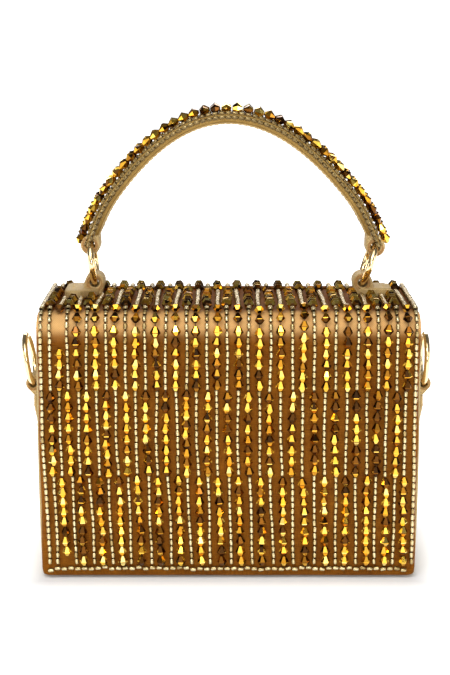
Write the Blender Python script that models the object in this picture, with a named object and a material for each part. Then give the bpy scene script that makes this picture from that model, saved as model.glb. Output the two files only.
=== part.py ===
"""Beaded evening bag: a boxy board-stiffened body, a fold-over flap covered with bead strings, an arched
handle on two rings, and a ring on each side for a strap.

Metres, +Z up, front towards -Y, +X to the right seen from the front. The origin is on the underside of the
base, under the middle of the body's width. Every node is a separate solid, built in its closed pose.
"""

import math

import bmesh
import bpy
from mathutils import Matrix, Vector

MM = 0.001
GAP = 0.3 * MM                      # between pieces that touch on the real bag

# Driving sizes
FLAP_HALF = 90.0 * MM               # half the flap's width
BODY_HALF = 90.5 * MM               # half the body's width, over the gussets
FLAP_FACE_Y = -33.0 * MM            # outer fabric of the flap's front
BACK_Y = 36.6 * MM                  # outer fabric of the back
TOP_Z = 130.5 * MM                  # outer fabric of the flap's top
FOLD_RADIUS = 9.0 * MM              # outer fabric round the flap's front fold
FLAP_BOTTOM_Z = 1.2 * MM

# Layers of a stiffened panel, outside to inside
COVER = 0.7 * MM
BODY_BOARD = 1.6 * MM
FLAP_BOARD = 1.4 * MM
LINING = 0.6 * MM
FLAP_THICKNESS = COVER + GAP + FLAP_BOARD + GAP + LINING
FLAP_CLEARANCE = 0.6 * MM           # flap lining to the body's front

BODY_FRONT_Y = FLAP_FACE_Y + FLAP_THICKNESS + FLAP_CLEARANCE
RIM_Z = TOP_Z - FLAP_THICKNESS - 0.9 * MM
FOLD_Y = FLAP_FACE_Y + FOLD_RADIUS  # centre of the fold's curve
FOLD_Z = TOP_Z - FOLD_RADIUS
FRONT_RIM_Z = FOLD_Z - GAP

# Beadwork: strings of large faceted beads between strings of small tube beads
COLUMNS = 37                        # spaces between the 38 strings, edge to edge
STRING_HALF = 87.9 * MM             # the two edge strings
STRING_DRIFT = (-2.6 * MM, -1.7 * MM, 0.4 * MM, -0.5 * MM)  # how unevenly they are spaced
CRYSTAL = 4.3 * MM
TUBE_BEAD = 1.9 * MM
NET = 0.4 * MM                      # the thread net that the strings stand on
BARE_RIB = 0.5 * MM                 # what is left of a string under a tab
BAND_EDGES_Z = (94.0 * MM, 52.1 * MM)   # where the two kinds of string swap places
TOP_BAND_Y = (17.8 * MM, -24.0 * MM)    # they are swapped between these on the top too
HEM_Z = 3.8 * MM
FOLD_SPLIT = math.radians(135)      # the flap's front turns about this line of the fold
FOLD_BARE = math.radians(17)        # each side of it has no beads, so that it can unfold

# Hinge of the flap along the top of the back, and the fold's own hinge
FLAP_HINGE_Y = 37.6 * MM
FLAP_HINGE_Z = RIM_Z + 0.5 * MM
NET_RADIUS = FOLD_RADIUS + GAP + NET
FOLD_HINGE_Y = FOLD_Y + NET_RADIUS * math.cos(FOLD_SPLIT)
FOLD_HINGE_Z = FOLD_Z + NET_RADIUS * math.sin(FOLD_SPLIT)

# Handle, its rings and its tabs
HANDLE_Y = 18.0 * MM
TAB_X = 66.0 * MM                   # the ring's lowest wire, inside its tab
TAB_WIRE_Z = 136.2 * MM
RING_RADIUS = 10.25 * MM            # to the middle of the wire
RING_WIRE = 1.7 * MM
RING_LEAN = {"left": math.radians(5.5), "right": math.radians(18.5)}    # both lean outwards
LOOP_HALF = 5.5 * MM                # half the width of a fabric loop round the wire
LOOP_HOLE = 3.6 * MM
LOOP_OUTER = 4.95 * MM
LOOP_SHIFT = 0.8 * MM               # a loop's centre lies this far in from the curved wire
TAB_END = 16.0 * MM                 # from the loop to the end of the tab
TAB_THICKNESS = 2.1 * MM
HANDLE_X = 2.2 * MM                 # the handle has slid this far to the right on its rings
HANDLE_APEX_Z = 215.0 * MM          # underside
HANDLE_CURVE = 11.8                 # 1/m: the underside drops by this times the square of the distance
HANDLE_REACH = 66.0 * MM            # half the span of the strap
HANDLE_HALF = 8.6 * MM              # half the strap's width
HANDLE_CORE = 2.3 * MM
HANDLE_FABRIC = 0.8 * MM

# Side rings and the tabs that hold them
SIDE_WIRE_X = 95.4 * MM
SIDE_WIRE_Z = 89.3 * MM
SIDE_RADIUS = 12.1 * MM
SIDE_WIRE = 1.4 * MM
SIDE_LEAN = {"left": math.radians(9), "right": math.radians(2)}
SIDE_TAB_HALF = 6.0 * MM
SIDE_TAB_Z = (54.0 * MM, 117.0 * MM)
SIDE_TAB_PLY = 1.4 * MM
SIDE_HOLE = 2.6 * MM
SIDE_LOOP = 4.0 * MM

# Closure and pocket
MAGNET_RADIUS = 7.0 * MM
MAGNET_X = 42.0 * MM
MAGNET_Z = 24.0 * MM
MAGNET_ROOM = 0.4 * MM
POCKET_HALF = 55.0 * MM
POCKET_Z = (45.0 * MM, 105.0 * MM)

SIDES = {"left": -1, "right": 1}

COLOURS = {
    "gold_fabric": ((0.42, 0.27, 0.09), 0.6, 0.2),
    "pale_fabric": ((0.62, 0.47, 0.24), 0.6, 0.2),
    "lining_cloth": ((0.30, 0.20, 0.08), 0.7, 0.0),
    "grey_board": ((0.45, 0.42, 0.38), 0.9, 0.0),
    "padding": ((0.85, 0.82, 0.75), 0.9, 0.0),
    "beads": ((0.80, 0.50, 0.10), 0.15, 0.8),
    "gold_metal": ((0.90, 0.68, 0.35), 0.12, 1.0),
    "magnet": ((0.55, 0.55, 0.56), 0.3, 1.0),
}


def material(name):
    """The material of that name, made the first time it is asked for."""
    found = bpy.data.materials.get(name)
    if found:
        return found
    colour, roughness, metallic = COLOURS[name]
    made = bpy.data.materials.new(name)
    made.use_nodes = True
    shader = made.node_tree.nodes["Principled BSDF"]
    shader.inputs["Base Color"].default_value = (*colour, 1)
    shader.inputs["Roughness"].default_value = roughness
    shader.inputs["Metallic"].default_value = metallic
    return made


def node(name, bm, finish, body, place=(0, 0, 0), smooth=False):
    """Makes an object from bm, whose points are relative to place, and hangs it on its body's empty."""
    bmesh.ops.recalc_face_normals(bm, faces=bm.faces)
    if bm.calc_volume(signed=True) < 0:
        bmesh.ops.reverse_faces(bm, faces=bm.faces)
    mesh = bpy.data.meshes.new(name)
    bm.to_mesh(mesh)
    bm.free()
    mesh.materials.append(material(finish))
    if smooth:
        mesh.shade_smooth()
        mesh.set_sharp_from_angle(angle=math.radians(40))
    made = bpy.data.objects.new(name, mesh)
    bpy.context.scene.collection.objects.link(made)
    made.parent = body
    made.location = Vector(place) - body.location
    return made


def joint_empty(name, place):
    """The empty that carries one moving body, standing on the joint's axis."""
    empty = bpy.data.objects.new(name, None)
    empty.location = place
    bpy.context.scene.collection.objects.link(empty)
    return empty


def slab(name, low, high, finish, body):
    """A flat panel between two corners, with its origin at its middle."""
    low, high = Vector(low), Vector(high)
    bm = bmesh.new()
    bmesh.ops.create_cube(bm, size=1)
    bmesh.ops.scale(bm, vec=high - low, verts=bm.verts)
    return node(name, bm, finish, body, (low + high) / 2)


def prism(name, outline, axis, start, end, finish, body, smooth=False):
    """A flat outline pushed along X or Y from start to end. Its two numbers are (y, z) or (x, z)."""
    bm = bmesh.new()
    low, high = [], []
    for a, z in outline:
        low.append(bm.verts.new((start, a, z) if axis == "X" else (a, start, z)))
        high.append(bm.verts.new((end, a, z) if axis == "X" else (a, end, z)))
    bm.faces.new(low)
    bm.faces.new(reversed(high))
    for i in range(len(outline)):
        j = (i + 1) % len(outline)
        bm.faces.new((low[i], low[j], high[j], high[i]))
    return node(name, bm, finish, body, smooth=smooth)


def arc(centre, radius, start, end, steps):
    """Points on a circle or, with two radii, on an ellipse."""
    across, up = radius if isinstance(radius, tuple) else (radius, radius)
    angles = [start + (end - start) * i / steps for i in range(steps + 1)]
    return [(centre[0] + across * math.cos(a), centre[1] + up * math.sin(a)) for a in angles]


def cylinder(name, place, radius, length, finish, body, steps=28):
    """A round disc or pin along Y."""
    bm = bmesh.new()
    bmesh.ops.create_cone(bm, cap_ends=True, segments=steps, radius1=radius, radius2=radius, depth=length)
    bmesh.ops.rotate(bm, matrix=Matrix.Rotation(math.pi / 2, 3, "X"), verts=bm.verts)
    return node(name, bm, finish, body, place, smooth=True)


def cut_round_hole(target, name, place, radius, length, body):
    """Cuts a hole along Y from target with a cutter that isn't part of the bag."""
    cutter = cylinder(name, place, radius, length, "grey_board", body)
    cutter.hide_render = True
    cutter.display_type = "WIRE"
    cut = target.modifiers.new(name, "BOOLEAN")
    cut.operation = "DIFFERENCE"
    cut.solver = "EXACT"
    cut.object = cutter


def ring(name, centre, radius, wire, lean, body, around=30, across=10):
    """A round-wire ring whose plane holds the Y axis and leans from upright by an angle about it."""
    bm = bmesh.new()
    loops = []
    for i in range(around):
        a = 2 * math.pi * i / around
        out = Vector((0, math.cos(a), math.sin(a)))
        loops.append([])
        for k in range(across):
            b = 2 * math.pi * k / across
            point = out * (radius + wire * math.cos(b)) + Vector((wire * math.sin(b), 0, 0))
            loops[-1].append(bm.verts.new(Matrix.Rotation(lean, 3, "Y") @ point))
    for i in range(around):
        for k in range(across):
            here, there = loops[i], loops[(i + 1) % around]
            m = (k + 1) % across
            bm.faces.new((here[k], here[m], there[m], there[k]))
    return node(name, bm, "gold_metal", body, centre, smooth=True)


# ---------------------------------------------------------------- body

def gusset_outline(front, back, low, high):
    """Side panel in (y, z), with its top front corner rounded under the flap's fold."""
    corner = arc((front + 3.5 * MM, FOLD_Z), (3.5 * MM, high - FOLD_Z), math.pi, math.pi / 2, 6)
    return [(front, low), *corner, (back, high), (back, low)]


def body_box(inset, thickness, finish, kind, rims, body):
    """Five panels that make one layer of the open box, inset from the body's outer faces."""
    side, front, back = BODY_HALF - inset, BODY_FRONT_Y + inset, BACK_Y - inset
    inner_front, inner_back = front + thickness + GAP, back - thickness - GAP
    lap = 0 if inset == 0 else thickness - BODY_HALF + side
    wide = side if inset == 0 else side + min(0, lap)
    floor = inset
    slab(f"front_{kind}", (-wide, front, floor), (wide, front + thickness, rims[0]), finish, body)
    slab(f"back_{kind}", (-wide, back - thickness, floor), (wide, back, rims[1]), finish, body)
    for name, sign in SIDES.items():
        outline = gusset_outline(inner_front, inner_back, floor, rims[1])
        ends = sorted((sign * side, sign * (side - thickness)))
        prism(f"{name}_gusset_{kind}", outline, "X", *ends, finish, body)
    reach = side - thickness - GAP
    slab(f"base_{kind}", (-reach, inner_front, floor), (reach, inner_back, floor + thickness), finish, body)


def build_body(body):
    """The open-topped box: fabric covers, boards and linings, with the pocket and the hinge strip."""
    inset = 0.0
    layers = (
        ("cover", COVER, "gold_fabric"),
        ("board", BODY_BOARD, "grey_board"),
        ("lining", LINING, "lining_cloth"),
    )
    for kind, thickness, finish in layers:
        body_box(inset, thickness, finish, kind, (FRONT_RIM_Z - inset / 4, RIM_Z - inset / 4), body)
        inset += thickness + GAP
    pocket_back = BACK_Y - inset
    slab(
        "inner_pocket",
        (-POCKET_HALF, pocket_back - LINING, POCKET_Z[0]),
        (POCKET_HALF, pocket_back, POCKET_Z[1]),
        "lining_cloth",
        body,
    )
    strip = (FLAP_HINGE_Y - COVER, FLAP_HINGE_Y)
    slab(
        "flap_hinge_strip",
        (-FLAP_HALF + 2 * MM, strip[0], RIM_Z - 14 * MM),
        (FLAP_HALF - 2 * MM, strip[1], RIM_Z),
        "gold_fabric",
        body,
    )


def side_tab_outline():
    """A fabric strip on the gusset, in (x, z) for the right side: one ply above the ring, two below."""
    inner = BODY_HALF + GAP
    one, two = inner + SIDE_TAB_PLY, inner + 2 * SIDE_TAB_PLY + GAP
    centre = (SIDE_WIRE_X, SIDE_WIRE_Z + LOOP_SHIFT)
    lower = -math.acos((two - centre[0]) / SIDE_LOOP)
    upper = math.acos((one - centre[0]) / SIDE_LOOP)
    low, high = SIDE_TAB_Z
    return [(inner, low), (two, low), *arc(centre, SIDE_LOOP, lower, upper, 16), (one, high), (inner, high)]


def build_side_tab(name, sign, body):
    outline = [(sign * x, z) for x, z in side_tab_outline()]
    tab = prism(f"{name}_side_tab", outline, "Y", -SIDE_TAB_HALF, SIDE_TAB_HALF, "pale_fabric", body)
    hole = (sign * SIDE_WIRE_X, 0, SIDE_WIRE_Z + LOOP_SHIFT)
    cut_round_hole(tab, f"{name}_side_tab_hole", hole, SIDE_HOLE, 4 * SIDE_TAB_HALF, body)


def build_side_ring(name, sign):
    """A strap ring standing up out of its tab; its empty stands on the line that it swings about."""
    hinge = joint_empty(f"{name}_side_ring_hinge", (sign * SIDE_WIRE_X, 0, SIDE_WIRE_Z + LOOP_SHIFT))
    lean = sign * SIDE_LEAN[name]
    centre = Vector((sign * SIDE_WIRE_X, 0, SIDE_WIRE_Z))
    centre += SIDE_RADIUS * Vector((math.sin(lean), 0, math.cos(lean)))
    ring(f"{name}_side_ring", centre, SIDE_RADIUS, SIDE_WIRE, lean, hinge)


# ---------------------------------------------------------------- flap

def fold_arc(radius, start, end, steps=6):
    return arc((FOLD_Y, FOLD_Z), radius, start, end, steps)


def layer_outline(depth, thickness, back, split, end):
    """One fabric layer of the flap in (y, z), depth under the outer face, on one side of the split."""
    outer = FOLD_RADIUS - depth
    inner = outer - thickness
    top = (TOP_Z - depth, TOP_Z - depth - thickness)
    face = (FLAP_FACE_Y + depth, FLAP_FACE_Y + depth + thickness)
    if split == "top":
        stop = FOLD_SPLIT - GAP / 2 / outer
        return [
            (back, top[0]),
            *fold_arc(outer, math.pi / 2, stop),
            *fold_arc(inner, stop, math.pi / 2),
            (back, top[1]),
        ]
    start = FOLD_SPLIT + GAP / 2 / outer
    return [
        *fold_arc(outer, start, math.pi),
        (face[0], end),
        (face[1], end),
        *fold_arc(inner, math.pi, start),
    ]


def string_xs():
    """Where the strings run, from the left edge to the right. They stand closer together towards the left edge
    than in the middle."""
    places = []
    for k in range(COLUMNS + 1):
        share = k / COLUMNS
        drift = sum(size * math.sin(n * math.pi * share) for n, size in enumerate(STRING_DRIFT, 1))
        places.append(-STRING_HALF + 2 * STRING_HALF * share + drift)
    return places


def string_height(k, swapped):
    """Edge strings are tube beads; between them, tube and crystal take turns, and swap in the middle band."""
    crystal = k % 2 == (1 if swapped else 0) and 0 < k < COLUMNS
    return CRYSTAL if crystal else TUBE_BEAD


def rib_row(frame, strings, height_of, half, share=1.0):
    """One cross-section of the beadwork: a roof-shaped rib for each string, standing on the net. The net's
    underside has one point below each string."""
    point, across, out = frame
    row = [point - across * half + out * NET]
    for k, x in enumerate(strings):
        height = height_of(k)
        wide = min(height, CRYSTAL) / 2 - 0.04 * MM
        for offset, rise in ((-wide, NET), (0, NET + (height - NET) * share), (wide, NET)):
            row.append(point + across * (x + offset) + out * rise)
    row.append(point + across * half + out * NET)
    row += [point + across * x for x in (half, *reversed(strings), -half)]
    return row


def rib_caps(strings):
    """The faces that close the end of such a solid, as indices into its cross-section."""
    count = len(strings)
    last = 4 * count + 3
    faces = []
    for k in range(count):
        left, under = 3 * k + 1, last - 1 - k
        faces += [(under, left, left + 1), (under, left + 1, left + 2)]
        faces.append((under, left + 2, left + 3, under - 1))
    faces.append((last, 0, 1, last - 1))
    return faces


def skin(name, rows, finish, body, caps=None):
    """A closed solid through cross-sections that have the same number of points."""
    bm = bmesh.new()
    made = [[bm.verts.new(p) for p in row] for row in rows]
    count = len(made[0])
    for here, there in zip(made, made[1:]):
        for i in range(count):
            j = (i + 1) % count
            bm.faces.new((here[i], here[j], there[j], there[i]))
    for face in caps or [range(count)]:
        bm.faces.new([made[0][i] for i in face])
        bm.faces.new([made[-1][i] for i in reversed(face)])
    return node(name, bm, finish, body)


def fold_frame(angle):
    """Point, direction across and direction outwards on the beads' base at an angle of the fold."""
    out = Vector((0, math.cos(angle), math.sin(angle)))
    return Vector((0, FOLD_Y, FOLD_Z)) + out * (FOLD_RADIUS + GAP), Vector((1, 0, 0)), out


def top_frame(y):
    return Vector((0, y, TOP_Z + GAP)), Vector((1, 0, 0)), Vector((0, 0, 1))


def front_frame(z):
    return Vector((0, FLAP_FACE_Y - GAP, z)), Vector((1, 0, 0)), Vector((0, -1, 0))


def under_tab(x):
    """True where a string passes under one of the handle's tabs, where no beads are sewn."""
    return TAB_X - LOOP_OUTER - CRYSTAL / 2 < abs(x) < TAB_X + TAB_END + CRYSTAL / 2


def build_top_beadwork(body):
    strings = string_xs()

    def plain(k):
        return string_height(k, False)

    def swapped(k):
        return string_height(k, True)

    def bare(height_of):
        return lambda k: NET + BARE_RIB if under_tab(strings[k]) else height_of(k)

    step, edge = 1 * MM, 0.1 * MM
    tab = (HANDLE_Y + LOOP_HALF + 1 * MM, HANDLE_Y - LOOP_HALF - 1 * MM)
    rear, front = TOP_BAND_Y
    stations = [
        (top_frame(BACK_Y - 0.5 * MM), plain, 1),
        (top_frame(tab[0] + step), plain, 1),
        (top_frame(tab[0]), bare(plain), 1),
        (top_frame(rear + edge), bare(plain), 1),
        (top_frame(rear), bare(swapped), 1),
        (top_frame(tab[1]), bare(swapped), 1),
        (top_frame(tab[1] - step), swapped, 1),
        (top_frame(front + edge), swapped, 1),
        (fold_frame(math.pi / 2), plain, 1),
        (fold_frame((math.pi / 2 + FOLD_SPLIT - FOLD_BARE) / 2), plain, 1),
        (fold_frame(FOLD_SPLIT - FOLD_BARE), plain, 1),
        (fold_frame(FOLD_SPLIT - math.radians(1)), plain, 0.05),
    ]
    rows = [rib_row(f, strings, height, FLAP_HALF - 1 * MM, share) for f, height, share in stations]
    skin("top_beadwork", rows, "beads", body, rib_caps(strings))


def build_front_beadwork(body):
    strings = string_xs()
    step = 0.1 * MM
    upper, lower = BAND_EDGES_Z
    stations = [
        (fold_frame(FOLD_SPLIT + math.radians(1)), False, 0.05),
        (fold_frame(FOLD_SPLIT + FOLD_BARE), False, 1),
        (fold_frame(math.pi), False, 1),
        (front_frame(upper + step), False, 1),
        (front_frame(upper), True, 1),
        (front_frame(lower), True, 1),
        (front_frame(lower - step), False, 1),
        (front_frame(HEM_Z), False, 1),
    ]
    rows = [
        rib_row(f, strings, lambda k, s=swapped: string_height(k, s), FLAP_HALF - 1 * MM, share)
        for f, swapped, share in stations
    ]
    skin("front_beadwork", rows, "beads", body, rib_caps(strings))


def build_flap_top(body):
    """The part of the flap that lies on the bag and turns over its front edge, half way round the fold."""
    back = FLAP_HINGE_Y - GAP
    cover = layer_outline(0, COVER, back, "top", None)
    prism("flap_top_cover", cover, "X", -FLAP_HALF, FLAP_HALF, "gold_fabric", body)
    board_top = TOP_Z - COVER - GAP
    inset = 1.5 * MM
    slab(
        "flap_top_board",
        (-FLAP_HALF + inset, FOLD_Y, board_top - FLAP_BOARD),
        (FLAP_HALF - inset, back - inset, board_top),
        "grey_board",
        body,
    )
    lining = layer_outline(FLAP_THICKNESS - LINING, LINING, back, "top", None)
    prism("flap_top_lining", lining, "X", -FLAP_HALF + inset, FLAP_HALF - inset, "lining_cloth", body)
    build_top_beadwork(body)


def build_flap_front(body):
    """The part of the flap that hangs down the front, with two hidden magnets in its board."""
    cover = layer_outline(0, COVER, None, "front", FLAP_BOTTOM_Z)
    prism("flap_front_cover", cover, "X", -FLAP_HALF, FLAP_HALF, "gold_fabric", body)
    inset = 1.5 * MM
    outer = FLAP_FACE_Y + COVER + GAP
    board = slab(
        "flap_front_board",
        (-FLAP_HALF + inset, outer, FLAP_BOTTOM_Z + inset),
        (FLAP_HALF - inset, outer + FLAP_BOARD, FOLD_Z - inset),
        "grey_board",
        body,
    )
    lining = layer_outline(FLAP_THICKNESS - LINING, LINING, None, "front", FLAP_BOTTOM_Z + 0.4 * MM)
    prism("flap_front_lining", lining, "X", -FLAP_HALF + inset, FLAP_HALF - inset, "lining_cloth", body)
    build_front_beadwork(body)
    build_magnets("flap", board, outer + FLAP_BOARD / 2, FLAP_BOARD, body)


def build_magnets(owner, board, y, thickness, body):
    """A disc magnet in a round hole of the board, on each side."""
    for name, sign in SIDES.items():
        place = (sign * MAGNET_X, y, MAGNET_Z)
        hole = MAGNET_RADIUS + MAGNET_ROOM
        cut_round_hole(board, f"{owner}_{name}_magnet_hole", place, hole, 4 * thickness, body)
        cylinder(f"{owner}_{name}_magnet", place, MAGNET_RADIUS, thickness - 0.2 * MM, "magnet", body)


# ---------------------------------------------------------------- handle

def handle_tab_outline(centre_z):
    """The tab on the flap's top in (x, z) about its loop's centre, for the right side."""
    bottom = TOP_Z + GAP + NET + BARE_RIB + GAP - centre_z
    top = bottom + TAB_THICKNESS
    meets = math.asin(top / LOOP_OUTER)
    round_part = arc((0, 0), LOOP_OUTER, meets, math.radians(215), 16)
    return [(TAB_END, bottom), (TAB_END, top), *round_part, (-LOOP_OUTER / 3, bottom)]


def build_handle_tab(name, sign, body):
    centre = Vector((sign * TAB_X, HANDLE_Y, TAB_WIRE_Z)) + LOOP_SHIFT * ring_axis(name, sign)
    outline = [(centre.x + sign * x, centre.z + z) for x, z in handle_tab_outline(centre.z)]
    ends = (HANDLE_Y - LOOP_HALF, HANDLE_Y + LOOP_HALF)
    tab = prism(f"{name}_handle_tab", outline, "Y", *ends, "pale_fabric", body)
    cut_round_hole(tab, f"{name}_handle_tab_hole", centre, LOOP_HOLE, 4 * LOOP_HALF, body)


def ring_axis(name, sign):
    """From the ring's lowest wire towards its highest."""
    lean = sign * RING_LEAN[name]
    return Vector((math.sin(lean), 0, math.cos(lean)))


def ring_centre(name, sign):
    return Vector((sign * TAB_X, HANDLE_Y, TAB_WIRE_Z)) + RING_RADIUS * ring_axis(name, sign)


def build_handle_ring(name, sign):
    centre = ring_centre(name, sign)
    hinge = joint_empty(f"{name}_handle_ring_hinge", centre)
    ring(f"{name}_handle_ring", centre, RING_RADIUS, RING_WIRE, sign * RING_LEAN[name], hinge)


def handle_point(u, rise):
    """A point rise above the strap's underside at u from -1 to 1 along it, and its two directions."""
    dx = HANDLE_REACH * u
    slope = -2 * HANDLE_CURVE * dx
    along = Vector((1, 0, slope)).normalized()
    out = Vector((-along.z, 0, along.x))
    base = Vector((HANDLE_X + dx, HANDLE_Y, HANDLE_APEX_Z - HANDLE_CURVE * dx * dx))
    return base + out * rise, along, out


def strap_layer(name, rise, thickness, half, finish, body, reach=1.0, steps=26):
    """One flat layer of the handle, along its whole arch."""
    rows = []
    for i in range(steps + 1):
        u = reach * (2 * i / steps - 1)
        point, _, out = handle_point(u, rise)
        side = Vector((0, half, 0))
        rows.append([point - side, point + side, point + side + out * thickness, point - side + out * thickness])
    skin(name, rows, finish, body)


def build_handle_beadwork(rise, body, steps=26):
    """Three strings of crystals between two strings of tube beads, over the strap."""
    edge = HANDLE_HALF - TUBE_BEAD / 2 - 0.1 * MM
    strings = (-edge, -CRYSTAL - 0.1 * MM, 0, CRYSTAL + 0.1 * MM, edge)
    heights = (TUBE_BEAD, CRYSTAL, CRYSTAL, CRYSTAL, TUBE_BEAD)
    rows = []
    for i in range(steps + 1):
        point, _, out = handle_point(2 * i / steps - 1, rise)
        rows.append(rib_row((point, Vector((0, 1, 0)), out), strings, heights.__getitem__, HANDLE_HALF))
    skin("handle_beadwork", rows, "beads", body, rib_caps(strings))


def build_handle_loop(name, sign, body):
    """The fabric loop that joins the strap's end to the top of its ring. Its outline is worked out as if on
    the right."""
    wire = ring_centre(name, sign) + RING_RADIUS * ring_axis(name, sign)
    centre = wire - LOOP_SHIFT * ring_axis(name, sign)
    end, along, out = handle_point(sign, 0)
    inner = end + along * sign * GAP
    outer = inner + out * (2 * HANDLE_FABRIC + HANDLE_CORE + 2 * GAP)
    tangents = []
    for corner, side in ((outer, -1), (inner, 1)):
        apart = corner - centre
        turn = math.acos(LOOP_OUTER / apart.length)
        tangents.append(math.atan2(apart.z, sign * apart.x) + side * turn)
    outline = [(sign * inner.x, inner.z), (sign * outer.x, outer.z)]
    outline += arc((sign * centre.x, centre.z), LOOP_OUTER, tangents[0], tangents[1] - 2 * math.pi, 18)
    outline = [(sign * x, z) for x, z in outline]
    ends = (HANDLE_Y - LOOP_HALF, HANDLE_Y + LOOP_HALF)
    loop = prism(f"{name}_handle_loop", outline, "Y", *ends, "pale_fabric", body)
    cut_round_hole(loop, f"{name}_handle_loop_hole", centre, LOOP_HOLE, 4 * LOOP_HALF, body)


def build_handle():
    axis_z = (ring_centre("left", -1).z + ring_centre("right", 1).z) / 2
    hinge = joint_empty("handle_hinge", (HANDLE_X, HANDLE_Y, axis_z))
    core = HANDLE_FABRIC + GAP
    cover = core + HANDLE_CORE + GAP
    beads = cover + HANDLE_FABRIC + GAP
    strap_layer("handle_underside", 0, HANDLE_FABRIC, HANDLE_HALF, "pale_fabric", hinge)
    strap_layer("handle_core", core, HANDLE_CORE, HANDLE_HALF - 1 * MM, "padding", hinge, reach=0.98)
    strap_layer("handle_cover", cover, HANDLE_FABRIC, HANDLE_HALF, "gold_fabric", hinge)
    build_handle_beadwork(beads, hinge)
    for name, sign in SIDES.items():
        build_handle_loop(name, sign, hinge)


def main():
    for old in list(bpy.data.objects):
        bpy.data.objects.remove(old)
    body = joint_empty("body", (0, 0, 0))
    build_body(body)
    front_board = bpy.data.objects["front_board"]
    build_magnets("body", front_board, BODY_FRONT_Y + COVER + GAP + BODY_BOARD / 2, BODY_BOARD, body)
    flap_top = joint_empty("flap_top", (0, FLAP_HINGE_Y, FLAP_HINGE_Z))
    build_flap_top(flap_top)
    flap_front = joint_empty("flap_front", (0, FOLD_HINGE_Y, FOLD_HINGE_Z))
    build_flap_front(flap_front)
    for name, sign in SIDES.items():
        build_side_tab(name, sign, body)
        build_side_ring(name, sign)
        build_handle_tab(name, sign, flap_top)
        build_handle_ring(name, sign)
    build_handle()


main()
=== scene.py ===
"""The look of the beaded evening bag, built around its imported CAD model. Lengths are in millimetres until a mesh
is made; the scene is in metres."""

import math

import bmesh
import bpy
import numpy as np
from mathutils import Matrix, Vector


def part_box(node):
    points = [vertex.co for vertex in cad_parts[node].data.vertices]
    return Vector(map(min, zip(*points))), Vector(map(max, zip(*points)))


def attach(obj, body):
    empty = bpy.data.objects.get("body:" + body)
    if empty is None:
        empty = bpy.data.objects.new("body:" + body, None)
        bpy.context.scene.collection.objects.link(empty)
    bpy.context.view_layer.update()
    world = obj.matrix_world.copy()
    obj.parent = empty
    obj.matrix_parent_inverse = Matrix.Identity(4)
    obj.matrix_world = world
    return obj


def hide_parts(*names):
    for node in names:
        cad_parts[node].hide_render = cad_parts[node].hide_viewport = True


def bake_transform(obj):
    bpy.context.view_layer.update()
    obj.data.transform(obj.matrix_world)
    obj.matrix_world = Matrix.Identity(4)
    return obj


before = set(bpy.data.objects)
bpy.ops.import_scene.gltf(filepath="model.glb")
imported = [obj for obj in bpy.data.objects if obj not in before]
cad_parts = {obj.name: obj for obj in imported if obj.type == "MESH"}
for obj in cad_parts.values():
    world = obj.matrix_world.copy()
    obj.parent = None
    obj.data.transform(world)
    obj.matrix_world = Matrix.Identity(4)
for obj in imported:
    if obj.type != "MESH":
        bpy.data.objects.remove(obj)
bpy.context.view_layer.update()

MM = 0.001
RNG = np.random.default_rng(11)
SIDES = {"left": -1, "right": 1}


def mm_box(node):
    low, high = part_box(node)
    return np.array(low) / MM, np.array(high) / MM


# Sizes read from the CAD model
FLAP_LOW, FLAP_HIGH = mm_box("flap_front_cover")
FRONT_LOW, FRONT_HIGH = mm_box("front_cover")
STRAP_LOW, STRAP_HIGH = mm_box("handle_underside")
TOP_Z = mm_box("flap_top_cover")[1][2]
FACE_Y = FLAP_LOW[1]
FLAP_HALF = FLAP_HIGH[0]
BODY_HALF, BACK_Y, RIM_Z = mm_box("back_cover")[1]
FRONT_RIM_Z = FRONT_HIGH[2]
FRONT_Y = FRONT_LOW[1]
FOLD_R = 9.0  # of the flap's outer face over its front edge
FOLD_Y, FOLD_Z = FACE_Y + FOLD_R, TOP_Z - FOLD_R
FLAP_THICK = 3.3
CORNER = 2.8  # the body's upright edges
WALL = 3.5  # cover and board; the lining lies inside it
X, Y, Z = np.eye(3)

# ------------------------------------------------------------------ materials


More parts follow.
